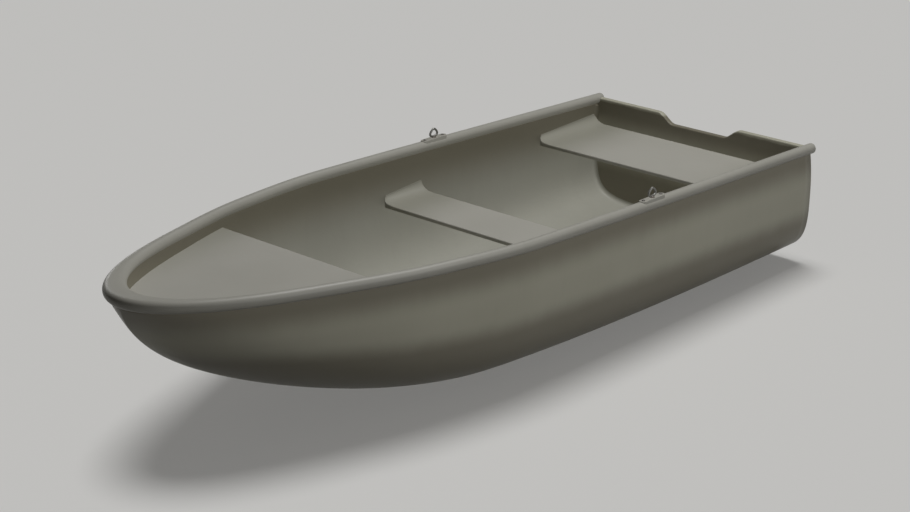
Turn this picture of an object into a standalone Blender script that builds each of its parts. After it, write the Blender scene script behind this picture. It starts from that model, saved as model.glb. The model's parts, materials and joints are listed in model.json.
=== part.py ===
"""A small moulded rowing boat with a spoon bow, an upright transom, three seats and two swivelling rowlocks.

Metres. X runs forward to the bow, Y to port and Z up. The origin is on the ground under the middle of
the boat, which stands level on its keel and its two bilge runners.
"""

import math

import bmesh
import bpy
from mathutils import Vector
from mathutils.bvhtree import BVHTree

# Overall form
LENGTH = 3.633
BEAM = 1.326
SHEER_HEIGHT_AT_TRANSOM = 0.576
SHEER_RISE = 0.118
SIDE_BULGE = 0.012
SIDE_BULGE_DEPTH = 0.16
KEEL_DEPTH = 0.02
ROCKER = 0.021

# Moulding and fits
HULL_WALL = 0.006
FIT_GAP = 0.0005
OVERRUN = 0.01

# Gunwale, a fat roll with a groove that caps the hull's top edge
RIM_RADIUS = 0.025
RIM_OVERHANG = 0.008
RIM_END_CHAMFER = 0.006
GROOVE_DEPTH = 0.012
SHEER_BAND = 0.004

# Transom board
TRANSOM_THICKNESS = 0.03
TRANSOM_TOP_ABOVE_SHEER = 0.009
NOTCH_DEPTH = 0.05
NOTCH_BOTTOM_WIDTH = 0.30
NOTCH_TOP_WIDTH = 0.49

# Seats: drops of their tops below the gunwale's height at the transom, and where they lie ahead of it
SEAT_THICKNESS = 0.018
SEAT_EDGE_ROUND = 0.004
SEAT_END_RISE = 0.045
SEAT_END_SWEEP = 0.07
SEAT_END_LIP = 0.003
MIDDLE_SEAT_DROP = 0.165
MIDDLE_SEAT_AFT = 1.315
MIDDLE_SEAT_WIDTH = 0.275
MIDDLE_SEAT_CORNER = 0.045
STERN_SEAT_DROP = 0.122
STERN_SEAT_WIDTH = 0.46
STERN_SEAT_CORNER = 0.045

# Bow seat: drop of its top below the gunwale's height at the stem, and where its aft edge lies
DECK_DROP = 0.10
DECK_AFT = 2.63
DECK_THICKNESS = 0.018

# Keel and bilge runners
KEEL_WIDTH = 0.05
KEEL_TAPER = 0.008
KEEL_TOE = 0.003
KEEL_RUN_OUT = 0.36
RUNNER_SPACING = 0.60
RUNNER_WIDTH = 0.034
RUNNER_AFT = 0.32
RUNNER_LENGTH = 1.60
RUNNER_END_SLOPE = 0.10

# Rowlocks
ROWLOCK_AHEAD_OF_TRANSOM = 1.24
PAD_LENGTH = 0.16
PAD_WIDTH = 0.034
PAD_FLARE = 0.003
PAD_HEIGHT = 0.0055
PAD_EDGE_ROUND = 0.0015
BUSH_RADIUS = 0.009
BUSH_BORE_RADIUS = 0.0065
BUSH_LENGTH = 0.034
PIN_RADIUS = 0.006
PIN_LENGTH = 0.03
PIN_TIP_CHAMFER = 0.001
COLLAR_RADIUS = 0.012
COLLAR_HEIGHT = 0.003
RING_WIDTH = 0.058
RING_HEIGHT = 0.046
RING_WIRE_RADIUS = 0.005
RING_SPREAD_SHARE = 0.4

# Share of a seat end's rise that is lost from the back edge to the front
SEAT_FRONT_FALL_SHARE = 0.45
# Shares of the half beam along the boat, from the transom to the stem head
STATION_SHARES = (0.0, 0.20, 0.40, 0.55, 0.70, 0.82, 0.92, 1.0)
BREADTH_SHARES = (0.994, 0.998, 1.0, 0.992, 0.885, 0.696, 0.480, 0.0)
# The bottom leaves the keel line at this share, and these two exponents round the forefoot and the stem
FOREFOOT_SHARE = 0.60
FOREFOOT_EXPONENT = 1.69
STEM_EXPONENT = 1.65
ROCKER_END_SHARE = 0.5
# Fullness of the sections: high is a flat bottom with a tight bilge, low is a fine V
FULLNESS_STERN = 6.4
FULLNESS_MIDDLE = 4.8
FULLNESS_BOW = 1.07
# Shares of the depth below the sheer where rows of points run along the side, above the bilge
SIDE_DEPTH_SHARES = (0.0, 0.06, 0.13, 0.21, 0.31, 0.43)

STATIONS = 30
BILGE_STEPS = 10
RIM_SIDES = 16
ROUND_SIDES = 24
WIRE_SIDES = 10
CORNER_STEPS = 6
COVE_STEPS = 5
DECK_STEPS = 18
PAD_STEPS = 8
RUNNER_TOP_STEPS = 4

TRANSOM_X = RIM_OVERHANG - LENGTH / 2
STEM_X = LENGTH / 2 - RIM_RADIUS
HALF_BREADTH = BEAM / 2 - RIM_RADIUS
BOTTOM_HEIGHT = KEEL_DEPTH
GIRTH_STEPS = BILGE_STEPS + len(SIDE_DEPTH_SHARES) - 1

HULL_COLOUR = (0.235, 0.228, 0.195, 1.0)
RIM_COLOUR = (0.25, 0.243, 0.21, 1.0)
SEAT_COLOUR = (0.30, 0.292, 0.26, 1.0)
FITTING_COLOUR = (0.22, 0.22, 0.205, 1.0)


def clear_scene():
    for old in list(bpy.data.objects):
        bpy.data.objects.remove(old, do_unlink=True)


def material(name, colour, roughness, metallic=0.0):
    made = bpy.data.materials.new(name)
    made.use_nodes = True
    shader = made.node_tree.nodes["Principled BSDF"]
    shader.inputs["Base Color"].default_value = colour
    shader.inputs["Roughness"].default_value = roughness
    shader.inputs["Metallic"].default_value = metallic
    return made


def add_object(name, points, faces, finish):
    """A closed mesh object with its faces turned outward."""
    mesh = bpy.data.meshes.new(name)
    mesh.from_pydata([tuple(p) for p in points], [], faces)
    work = bmesh.new()
    work.from_mesh(mesh)
    bmesh.ops.recalc_face_normals(work, faces=work.faces)
    work.to_mesh(mesh)
    work.free()
    mesh.shade_smooth()
    mesh.set_sharp_from_angle(angle=math.radians(35))
    mesh.materials.append(finish)
    made = bpy.data.objects.new(name, mesh)
    bpy.context.scene.collection.objects.link(made)
    return made


def loft(rings):
    """Points and faces of a solid that passes through rings of equal size, with a cap at each end."""
    size = len(rings[0])
    points = [p for ring in rings for p in ring]
    faces = []
    for start in range(0, size * (len(rings) - 1), size):
        for i in range(size):
            j = (i + 1) % size
            faces.append((start + i, start + j, start + size + j, start + size + i))
    faces.append(tuple(range(size)))
    faces.append(tuple(range(len(points) - size, len(points))))
    return points, faces


def turned(outline, centre):
    """Points and faces of a solid turned about a vertical axis; the outline's (radius, height) ends on it."""
    cx, cy = centre
    points = [(cx, cy, outline[0][1])]
    for radius, height in outline[1:-1]:
        for k in range(ROUND_SIDES):
            turn = math.tau * k / ROUND_SIDES
            points.append((cx + radius * math.cos(turn), cy + radius * math.sin(turn), height))
    points.append((cx, cy, outline[-1][1]))
    last = len(points) - 1
    faces = []
    for k in range(ROUND_SIDES):
        m = (k + 1) % ROUND_SIDES
        faces.append((0, 1 + k, 1 + m))
        faces.append((last, last - ROUND_SIDES + m, last - ROUND_SIDES + k))
        for ring in range(len(outline) - 3):
            low = 1 + ring * ROUND_SIDES
            faces.append((low + k, low + ROUND_SIDES + k, low + ROUND_SIDES + m, low + m))
    return points, faces


def smooth_through(places, values, at):
    """A curve through the table's values that never overshoots them."""
    steps = [b - a for a, b in zip(places, places[1:])]
    rises = [(b - a) / step for a, b, step in zip(values, values[1:], steps)]
    slopes = [0.0] * len(places)
    for k in range(1, len(places) - 1):
        before, after = rises[k - 1], rises[k]
        if before * after > 0:
            w1 = 2 * steps[k] + steps[k - 1]
            w2 = steps[k] + 2 * steps[k - 1]
            slopes[k] = (w1 + w2) / (w1 / before + w2 / after)
    lean = (2 * steps[-1] + steps[-2]) * rises[-1] - steps[-1] * rises[-2]
    slopes[-1] = lean / (steps[-1] + steps[-2])
    k = max(i for i in range(len(steps)) if at >= places[i] or i == 0)
    t = (at - places[k]) / steps[k]
    return (
        values[k] * (1 + 2 * t) * (1 - t) ** 2
        + slopes[k] * steps[k] * t * (1 - t) ** 2
        + values[k + 1] * t * t * (3 - 2 * t)
        - slopes[k + 1] * steps[k] * t * t * (1 - t)
    )


def half_breadth(share):
    """The gunwale's half breadth; its square is smoothed, which rounds the bow."""
    squares = [value ** 2 for value in BREADTH_SHARES]
    return HALF_BREADTH * math.sqrt(max(smooth_through(STATION_SHARES, squares, share), 0.0))


def sheer_height(share):
    return SHEER_HEIGHT_AT_TRANSOM + SHEER_RISE * share


def sheer_edge(share):
    """Height where the hull's side turns into the upright band that enters the gunwale."""
    return sheer_height(share) - RIM_RADIUS - SHEER_BAND


def bottom_height(share):
    """The hull's centreline from the transom along the bottom and up the stem."""
    lift = max(ROCKER_END_SHARE - share, 0.0) / ROCKER_END_SHARE
    reach = min(max((share - FOREFOOT_SHARE) / (1 - FOREFOOT_SHARE), 0.0), 1.0)
    stem = 1 - (1 - reach ** FOREFOOT_EXPONENT) ** (1 / STEM_EXPONENT)
    return BOTTOM_HEIGHT + HULL_WALL / 2 + ROCKER * lift ** 2 + (sheer_edge(1) - BOTTOM_HEIGHT) * stem


def fullness(share):
    rest = 1 - share
    return FULLNESS_STERN * rest ** 2 + 2 * FULLNESS_MIDDLE * share * rest + FULLNESS_BOW * share ** 2


def station_x(share):
    return TRANSOM_X + (STEM_X - TRANSOM_X) * share


def station_shares():
    """Stations from the transom forward, closing up towards the round of the bow."""
    return [1 - ((STATIONS - k) / STATIONS) ** 2 for k in range(STATIONS + 1)]


def section(share):
    """Half of a section of the hull's middle surface, from the centreline out and up to the sheer."""
    breadth, top, low = half_breadth(share), sheer_edge(share), bottom_height(share)
    bulge = SIDE_BULGE * breadth / HALF_BREADTH
    full = fullness(share)
    bilge_turn = math.acos(SIDE_DEPTH_SHARES[-1] ** (full / 2))
    depth_shares = [math.cos(bilge_turn * k / BILGE_STEPS) ** (2 / full) for k in range(BILGE_STEPS)]
    depth_shares += reversed(SIDE_DEPTH_SHARES)
    points = []
    for depth_share in depth_shares:
        depth = (top - low) * depth_share
        across = (breadth + bulge) * (1 - depth_share ** full) ** (1 / full)
        across -= bulge * max(1 - depth / SIDE_BULGE_DEPTH, 0.0) ** 2
        points.append((across, top - depth))
    return points


def sheer_line():
    """Plan points of the gunwale's centreline, each with the outward normal of a mitred joint there."""
    shares = station_shares()
    plan = [Vector((station_x(s), half_breadth(s))) for s in shares]
    plan[-1].y = 0.0
    mirrored = Vector((plan[-2].x, -plan[-2].y))
    line = []
    for k, (share, here) in enumerate(zip(shares, plan)):
        after = plan[k + 1] if k + 1 < len(plan) else mirrored
        before = plan[k - 1] if k else here - (plan[1] - here)
        first, second = (here - before).normalized(), (after - here).normalized()
        normal = Vector((-first.y, first.x)) + Vector((-second.y, second.x))
        normal.normalize()
        mitre = normal.dot(Vector((-first.y, first.x)))
        line.append((share, here, normal / mitre))
    return line


def make_hull(finish):
    """The moulded shell: a middle surface lofted through the stations, given its wall to either side."""
    line = sheer_line()
    top_row = GIRTH_STEPS + 1
    rows = range(-top_row, top_row + 1)
    work = bmesh.new()
    flat_normals = {}

    def vertex(place, flat=None):
        made = work.verts.new(place)
        if flat is not None:
            flat_normals[made] = flat
        return made

    grid = []
    for share, here, normal in line[:-1]:
        half = section(share)
        band_top = sheer_height(share) - RIM_RADIUS + GROOVE_DEPTH - FIT_GAP
        ring = []
        for row in rows:
            side = -1 if row < 0 else 1
            flat = Vector((normal.x, side * normal.y, 0.0)) if abs(row) >= GIRTH_STEPS else None
            across, height = half[abs(row)] if abs(row) < top_row else (here.y, band_top)
            ring.append(vertex((here.x, side * across, height), flat))
        grid.append(ring)
    forward = Vector((1, 0, 0)) * line[-1][2].length
    stem_low = vertex((line[-1][1].x, 0, sheer_edge(1)), forward)
    stem_top = vertex((line[-1][1].x, 0, sheer_height(1) - RIM_RADIUS + GROOVE_DEPTH - FIT_GAP), forward)

    count = len(grid[0])
    for back, front in zip(grid, grid[1:]):
        for k in range(count - 1):
            first, second, third, fourth = back[k], front[k], front[k + 1], back[k + 1]
            if rows[k] < 0:
                first, second, third, fourth = second, third, fourth, first
            work.faces.new((first, second, third))
            work.faces.new((first, third, fourth))
    last = grid[-1]
    work.faces.new((last[0], stem_top, stem_low, last[1]))
    work.faces.new((last[count - 2], stem_low, stem_top, last[count - 1]))
    for k in range(1, count - 2):
        work.faces.new((last[k], stem_low, last[k + 1]))
    work.normal_update()
    middle = grid[1][top_row]
    outward = 1 if middle.normal.z < 0 else -1

    work.verts.index_update()
    order = list(work.verts)
    outer, inner = [], []
    for v in order:
        push = flat_normals.get(v)
        if push is None:
            push = v.normal * outward
            if v in grid[0]:
                push = Vector((0, push.y, push.z)).normalized()
        outer.append(v.co + push * HULL_WALL / 2)
        inner.append(v.co - push * HULL_WALL / 2)
    faces = []
    edge_uses = {}
    for face in work.faces:
        ids = [v.index for v in face.verts]
        faces.append(tuple(ids))
        faces.append(tuple(len(order) + i for i in reversed(ids)))
        for a, b in zip(ids, ids[1:] + ids[:1]):
            edge_uses.setdefault(frozenset((a, b)), []).append((a, b))
    for uses in edge_uses.values():
        if len(uses) == 1:
            a, b = uses[0]
            faces.append((b, a, len(order) + a, len(order) + b))
    keel_line = [outer[ring[top_row].index].copy() for ring in grid]
    work.free()
    hull = add_object("hull", outer + inner, faces, finish)
    return hull, keel_line


def surface_tree(made):
    mesh = made.data
    return BVHTree.FromPolygons([v.co for v in mesh.vertices], [list(p.vertices) for p in mesh.polygons])


def reach(tree, origin, direction):
    """Where a straight line from a point first meets the hull."""
    found = tree.ray_cast(Vector(origin), Vector(direction))
    return found[0]


def inside_breadth(tree, x, z):
    """Half breadth of the hull's inside, less the fit gap."""
    return reach(tree, (x, 0, z), (0, 1, 0)).y - FIT_GAP


def rim_ring(place, normal, height, size=1.0, flat_y=None):
    """One section of the gunwale: a round with a groove up its underside."""
    clear = HULL_WALL / 2 + FIT_GAP
    notch = math.asin(clear / RIM_RADIUS)
    ring = []
    for k in range(RIM_SIDES + 1):
        turn = -math.pi / 2 + notch + (math.tau - 2 * notch) * k / RIM_SIDES
        ring.append((RIM_RADIUS * math.cos(turn), RIM_RADIUS * math.sin(turn)))
    ring.append((-clear, GROOVE_DEPTH - RIM_RADIUS))
    ring.append((clear, GROOVE_DEPTH - RIM_RADIUS))
    points = []
    for out, up in ring:
        x = place.x + normal.x * out * size
        y = place.y + normal.y * out * size
        points.append(Vector((x, y if flat_y is None else flat_y, height + up * size)))
    return points


def make_rim(name, side, finish):
    """Half of the gunwale, from its blunt end past the transom round to the middle of the bow."""
    line = sheer_line()
    share, start, normal = line[0]
    height = sheer_height(share)
    rings = []
    chamfer_share = 1 - RIM_END_CHAMFER / RIM_RADIUS
    for back, size in ((RIM_OVERHANG, chamfer_share), (RIM_OVERHANG - RIM_END_CHAMFER, 1.0)):
        rings.append(rim_ring(Vector((start.x - back, start.y)), normal, height, size))
    for share, here, normal in line[:-1]:
        rings.append(rim_ring(here, normal, sheer_height(share)))
    share, here, normal = line[-1]
    rings.append(rim_ring(here, normal, sheer_height(share), flat_y=FIT_GAP / 2))
    points, faces = loft([[Vector((p.x, side * p.y, p.z)) for p in ring] for ring in rings])
    return add_object(name, points, faces, finish)


def notch_height(across):
    """Top edge of the transom: straight shoulders and an S-curve down to the notch."""
    low, high = NOTCH_BOTTOM_WIDTH / 2, NOTCH_TOP_WIDTH / 2
    t = min(max((abs(across) - low) / (high - low), 0.0), 1.0)
    top = sheer_height(0) + TRANSOM_TOP_ABOVE_SHEER
    return top - NOTCH_DEPTH * (1 - t * t * (3 - 2 * t))


def make_transom(tree, finish):
    """The board inside the shell's aft end, coped to the underside of the gunwales."""
    near_x, far_x = TRANSOM_X + FIT_GAP, TRANSOM_X + TRANSOM_THICKNESS
    centre_height = SHEER_HEIGHT_AT_TRANSOM / 2
    outline = []
    cope = RIM_RADIUS + FIT_GAP
    rim_y, rim_z = half_breadth(0), sheer_height(0)
    corner = rim_z - RIM_RADIUS - SHEER_BAND
    steps = 2 * GIRTH_STEPS
    bottom_turn = -math.pi / 2
    corner_turn = math.atan2(corner - centre_height, rim_y)
    for k in range(steps + 1):
        turn = bottom_turn + (corner_turn - bottom_turn) * k / steps
        aim = Vector((0, math.cos(turn), math.sin(turn)))
        spans = [(reach(tree, (x, 0, centre_height), aim) - Vector((x, 0, centre_height))).length
                 for x in (near_x, far_x)]
        span = min(spans) - FIT_GAP
        outline.append((span * aim.y, centre_height + span * aim.z))
    wall = HULL_WALL / 2 + FIT_GAP
    first = -math.pi / 2 - math.asin(wall / cope)
    top = sheer_height(0) + TRANSOM_TOP_ABOVE_SHEER
    last = -math.pi - math.asin((top - rim_z) / cope)
    cope_steps = RIM_SIDES // 2
    for k in range(cope_steps + 1):
        turn = first + (last - first) * k / cope_steps
        outline.append((rim_y + cope * math.cos(turn), rim_z + cope * math.sin(turn)))
    low, high = NOTCH_BOTTOM_WIDTH / 2, NOTCH_TOP_WIDTH / 2
    curve_steps = RIM_SIDES // 2
    for k in range(curve_steps + 1):
        across = high + (low - high) * k / curve_steps
        outline.append((across, notch_height(across)))
    mirrored = [(-y, z) for y, z in reversed(outline[1:])]
    loop = outline + mirrored
    rings = [[Vector((x, y, z)) for y, z in loop] for x in (near_x, far_x)]
    points, faces = loft(rings)
    # The inner face is laid in level bands, so that the board above the stern seat is a face of its own.
    faces.pop()
    size = len(loop)
    faces.append((size, size + 1, size + size - 1))
    for k in range(1, steps - 1):
        faces.append((size + k, size + k + 1, size + size - k - 1, size + size - k))
    faces.append(tuple(range(size + steps - 1, size + size - steps + 2)))
    return add_object("transom", points, faces, finish)


def make_seat(tree, name, aft, width, height, corner, finish):
    """A moulded plank whose ends sweep up against the hull, higher at the back than at the front."""
    front = aft + width
    start = front - corner
    low = height - SEAT_THICKNESS
    places = [(aft, SEAT_EDGE_ROUND), (aft + SEAT_EDGE_ROUND, 0.0), ((aft + start) / 2, 0.0)]
    for k in range(CORNER_STEPS):
        places.append((start + (corner - SEAT_EDGE_ROUND) * math.sin(math.pi / 2 * k / CORNER_STEPS), 0.0))
    places.append((front - SEAT_EDGE_ROUND, 0.0))
    places.append((front, SEAT_EDGE_ROUND))
    rings = []
    for x, drop in places:
        along = min(max((x - start) / corner, 0.0), 1.0)
        full_share = math.sqrt(1 - along ** 2)
        pull_in = corner * (1 - full_share)
        back_share = 1 - SEAT_FRONT_FALL_SHARE * (x - aft) / width
        rise = SEAT_END_RISE * full_share * back_share
        top = height - drop
        lip_y = inside_breadth(tree, x, top + rise) - pull_in
        half = [(inside_breadth(tree, x, low) - pull_in, low), (lip_y, top + rise)]
        sweep_y = lip_y - SEAT_END_LIP - SEAT_END_SWEEP
        for k in range(COVE_STEPS + 1):
            turn = math.pi / 2 * (1 - k / COVE_STEPS)
            half.append((sweep_y + SEAT_END_SWEEP * math.sin(turn), top + rise * (1 - math.cos(turn))))
        loop = half + [(-y, z) for y, z in reversed(half)]
        rings.append([Vector((x, y, z)) for y, z in loop])
    points, faces = loft(rings)
    return add_object(name, points, faces, finish)


def make_deck(tree, finish):
    """The bow seat, a flat moulded plate cut to the inside of the hull."""
    top = sheer_height(1) - DECK_DROP
    low = top - DECK_THICKNESS
    aft = TRANSOM_X + DECK_AFT
    tips = [reach(tree, (aft, 0, z), (1, 0, 0)).x - FIT_GAP for z in (top, low)]
    rings = []
    edge = [(aft, SEAT_EDGE_ROUND), (aft + SEAT_EDGE_ROUND, 0.0)]
    for x, drop in edge:
        y_top, y_low = inside_breadth(tree, x, top), inside_breadth(tree, x, low)
        rings.append([Vector((x, y_top, top - drop)), Vector((x, y_low, low)),
                      Vector((x, -y_low, low)), Vector((x, -y_top, top - drop))])
    for k in range(1, DECK_STEPS):
        rest = (1 - k / DECK_STEPS) ** 2
        xs = [tip - (tip - aft) * rest for tip in tips]
        ys = [inside_breadth(tree, x, z) for x, z in zip(xs, (top, low))]
        rings.append([Vector((xs[0], ys[0], top)), Vector((xs[1], ys[1], low)),
                      Vector((xs[1], -ys[1], low)), Vector((xs[0], -ys[0], top))])
    points, faces = loft(rings)
    return add_object("bow_seat", points, faces, finish)


def make_keel(tree, keel_line, finish):
    """The centre keel, straight along the ground and running out up the forefoot."""
    start = station_x(FOREFOOT_SHARE)
    end = start + KEEL_RUN_OUT
    xs = [TRANSOM_X + FIT_GAP] + [p.x for p in keel_line if TRANSOM_X + FIT_GAP < p.x < end] + [end]
    rings = []
    for x in xs:
        hull_z = min(reach(tree, (x, y, -OVERRUN), (0, 0, 1)).z for y in (0.0, KEEL_WIDTH / 2)) - FIT_GAP
        u = min(max((x - start) / (end - start), 0.0), 1.0)
        depth = KEEL_TOE + (KEEL_DEPTH - KEEL_TOE) * (1 - u * u * (3 - 2 * u))
        foot = 0.0 if u == 0 else max(hull_z - depth, 0.0)
        half_top, half_foot = KEEL_WIDTH / 2, KEEL_WIDTH / 2 - KEEL_TAPER
        rings.append([Vector((x, half_top, hull_z)), Vector((x, half_foot, foot)),
                      Vector((x, -half_foot, foot)), Vector((x, -half_top, hull_z))])
    points, faces = loft(rings)
    return add_object("keel", points, faces, finish)


def make_runner(tree, keel_line, name, side, finish):
    """A bilge runner, as deep as the keel, with a sloped end fore and aft."""
    start = TRANSOM_X + RUNNER_AFT
    end = start + RUNNER_LENGTH
    bends = [start, start + RUNNER_END_SLOPE, end - RUNNER_END_SLOPE, end]
    xs = sorted(bends + [p.x for p in keel_line if start < p.x < end])
    middle = RUNNER_SPACING / 2
    rings = []
    for x in xs:
        tops = []
        for k in range(RUNNER_TOP_STEPS + 1):
            y = side * (middle + RUNNER_WIDTH * (k / RUNNER_TOP_STEPS - 1 / 2))
            tops.append(Vector((x, y, reach(tree, (x, y, -OVERRUN), (0, 0, 1)).z - FIT_GAP)))
        slope = min((x - start) / RUNNER_END_SLOPE, (end - x) / RUNNER_END_SLOPE, 1.0)
        foot = (min(p.z for p in tops) - KEEL_TOE) * (1 - slope)
        half_foot = RUNNER_WIDTH / 2 - KEEL_TAPER
        feet = [Vector((x, side * (middle + out), foot)) for out in (half_foot, -half_foot)]
        rings.append(tops + feet)
    points, faces = loft(rings)
    return add_object(name, points, faces, finish)


def rim_at(x):
    """Half breadth and height of the gunwale's centreline on the straight between two stations."""
    line = sheer_line()
    for (share, here, _), (after_share, after, _) in zip(line, line[1:]):
        if here.x <= x <= after.x:
            t = (x - here.x) / (after.x - here.x)
            return here.y + (after.y - here.y) * t, sheer_height(share + (after_share - share) * t)
    return line[0][1].y, sheer_height(0)


def pad_top():
    x = TRANSOM_X + ROWLOCK_AHEAD_OF_TRANSOM
    return rim_at(x)[1] + RIM_RADIUS + PAD_HEIGHT


def make_pad(name, side, finish):
    """The block that carries a rowlock: level on top, and hollowed below to sit astride the gunwale."""
    centre = TRANSOM_X + ROWLOCK_AHEAD_OF_TRANSOM
    seat = RIM_RADIUS + FIT_GAP
    half_foot = PAD_WIDTH / 2 + PAD_FLARE
    spread = math.asin(half_foot / seat)
    straight = PAD_LENGTH / 2 - PAD_WIDTH / 2
    places = [(x, 1.0) for x in (centre - straight, centre, centre + straight)]
    places += [(here.x, 1.0) for _, here, _ in sheer_line() if abs(here.x - centre) < straight]
    for k in range(1, CORNER_STEPS):
        turn = math.pi / 2 * k / CORNER_STEPS
        out = straight + PAD_WIDTH / 2 * math.sin(turn)
        places += [(centre - out, math.cos(turn)), (centre + out, math.cos(turn))]
    rings = []
    for x, width_share in sorted(places):
        y, z = rim_at(x)
        half = PAD_WIDTH / 2 * width_share
        inner = half - PAD_EDGE_ROUND * width_share
        loop = [(-half, pad_top() - PAD_EDGE_ROUND), (-inner, pad_top()), (inner, pad_top()),
                (half, pad_top() - PAD_EDGE_ROUND)]
        for k in range(PAD_STEPS + 1):
            turn = spread * width_share * (1 - 2 * k / PAD_STEPS)
            loop.append((seat * math.sin(turn), z + seat * math.cos(turn)))
        rings.append([Vector((x, side * (y + across), height)) for across, height in loop])
    points, faces = loft(rings)
    return add_object(name, points, faces, finish)


def drill(target, side):
    """Cuts the hole for a rowlock's bush down from the top of its pad."""
    x = TRANSOM_X + ROWLOCK_AHEAD_OF_TRANSOM
    y = side * rim_at(x)[0]
    radius = BUSH_RADIUS + FIT_GAP
    top = pad_top() + OVERRUN
    low = pad_top() - BUSH_LENGTH - FIT_GAP
    points, faces = turned([(0, low), (radius, low), (radius, top), (0, top)], (x, y))
    cutter = add_object(f"cut_{target.name}", points, faces, None)
    cutter.hide_render = True
    cutter.display_type = "WIRE"
    cut = target.modifiers.new("rowlock_hole", "BOOLEAN")
    cut.operation = "DIFFERENCE"
    cut.solver = "EXACT"
    cut.object = cutter


def make_bush(name, side, finish):
    """The bearing tube in the pad and gunwale that a rowlock's pin turns in."""
    x = TRANSOM_X + ROWLOCK_AHEAD_OF_TRANSOM
    y = side * rim_at(x)[0]
    top, low = pad_top(), pad_top() - BUSH_LENGTH
    floor = low + (BUSH_RADIUS - BUSH_BORE_RADIUS)
    outline = [(0, low), (BUSH_RADIUS, low), (BUSH_RADIUS, top),
               (BUSH_BORE_RADIUS, top), (BUSH_BORE_RADIUS, floor), (0, floor)]
    points, faces = turned(outline, (x, y))
    return add_object(name, points, faces, finish)


def make_rowlock(name, side, finish):
    """A closed rowlock: a ring with spread legs on a collar and pin, with its origin on the pin's axis."""
    x = TRANSOM_X + ROWLOCK_AHEAD_OF_TRANSOM
    y = side * rim_at(x)[0]
    collar_low = pad_top() + FIT_GAP
    origin = Vector((x, y, collar_low))
    outline = [(0, -PIN_LENGTH), (PIN_RADIUS - PIN_TIP_CHAMFER, -PIN_LENGTH),
               (PIN_RADIUS, PIN_TIP_CHAMFER - PIN_LENGTH), (PIN_RADIUS, 0), (COLLAR_RADIUS, 0),
               (COLLAR_RADIUS, COLLAR_HEIGHT / 2), (PIN_RADIUS, COLLAR_HEIGHT + RING_WIRE_RADIUS / 2),
               (0, COLLAR_HEIGHT + RING_WIRE_RADIUS / 2)]
    points, faces = turned(outline, (0, 0))
    made = add_object(name, points, faces, finish)
    made.location = origin
    half_width = RING_WIDTH / 2 - RING_WIRE_RADIUS
    half_height = RING_HEIGHT / 2 - RING_WIRE_RADIUS
    centre_height = COLLAR_HEIGHT + RING_HEIGHT / 2 - RING_WIRE_RADIUS / 2
    ring_points, ring_faces = [], []

    def ring_point(turn):
        spread = (1 + RING_SPREAD_SHARE * math.cos(turn)) / (1 + RING_SPREAD_SHARE ** 2 / 2)
        return Vector((half_width * spread * math.sin(turn), 0, centre_height - half_height * math.cos(turn)))

    for k in range(ROUND_SIDES):
        turn = math.tau * k / ROUND_SIDES
        centre = ring_point(turn)
        along = ring_point(turn + math.tau / ROUND_SIDES) - ring_point(turn - math.tau / ROUND_SIDES)
        out = Vector((along.z, 0, -along.x)).normalized()
        for m in range(WIRE_SIDES):
            around = math.tau * m / WIRE_SIDES
            wire = out * math.cos(around) + Vector((0, 1, 0)) * math.sin(around)
            ring_points.append(centre + wire * RING_WIRE_RADIUS)
            here, after = k * WIRE_SIDES, (k + 1) % ROUND_SIDES * WIRE_SIDES
            beside = (m + 1) % WIRE_SIDES
            ring_faces.append((here + m, after + m, after + beside, here + beside))
    ring = add_object(f"{name}_ring", ring_points, ring_faces, finish)
    ring.location = origin
    ring.hide_render = True
    ring.display_type = "WIRE"
    join = made.modifiers.new("ring", "BOOLEAN")
    join.operation = "UNION"
    join.solver = "EXACT"
    join.object = ring
    return made


def build():
    clear_scene()
    hull_finish = material("hull_gelcoat", HULL_COLOUR, 0.45)
    rim_finish = material("gunwale_gelcoat", RIM_COLOUR, 0.5)
    seat_finish = material("seat_gelcoat", SEAT_COLOUR, 0.5)
    fitting_finish = material("rowlock_metal", FITTING_COLOUR, 0.45, 0.6)

    hull, keel_line = make_hull(hull_finish)
    tree = surface_tree(hull)
    make_transom(tree, hull_finish)
    rims = {"port": make_rim("gunwale_port", 1, rim_finish),
            "starboard": make_rim("gunwale_starboard", -1, rim_finish)}
    make_deck(tree, seat_finish)
    make_seat(tree, "middle_seat", TRANSOM_X + MIDDLE_SEAT_AFT, MIDDLE_SEAT_WIDTH,
              SHEER_HEIGHT_AT_TRANSOM - MIDDLE_SEAT_DROP, MIDDLE_SEAT_CORNER, seat_finish)
    make_seat(tree, "stern_seat", TRANSOM_X + TRANSOM_THICKNESS + FIT_GAP, STERN_SEAT_WIDTH,
              SHEER_HEIGHT_AT_TRANSOM - STERN_SEAT_DROP, STERN_SEAT_CORNER, seat_finish)
    make_keel(tree, keel_line, hull_finish)
    for word, side in (("port", 1), ("starboard", -1)):
        make_runner(tree, keel_line, f"runner_{word}", side, hull_finish)
        pad = make_pad(f"rowlock_pad_{word}", side, rim_finish)
        drill(pad, side)
        drill(rims[word], side)
        make_bush(f"rowlock_bush_{word}", side, fitting_finish)
        make_rowlock(f"rowlock_{word}", side, fitting_finish)


build()
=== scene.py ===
import json
import math

import bmesh
import bpy
import numpy as np
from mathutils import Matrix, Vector
from mathutils.bvhtree import BVHTree
from mathutils.geometry import delaunay_2d_cdt


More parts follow.
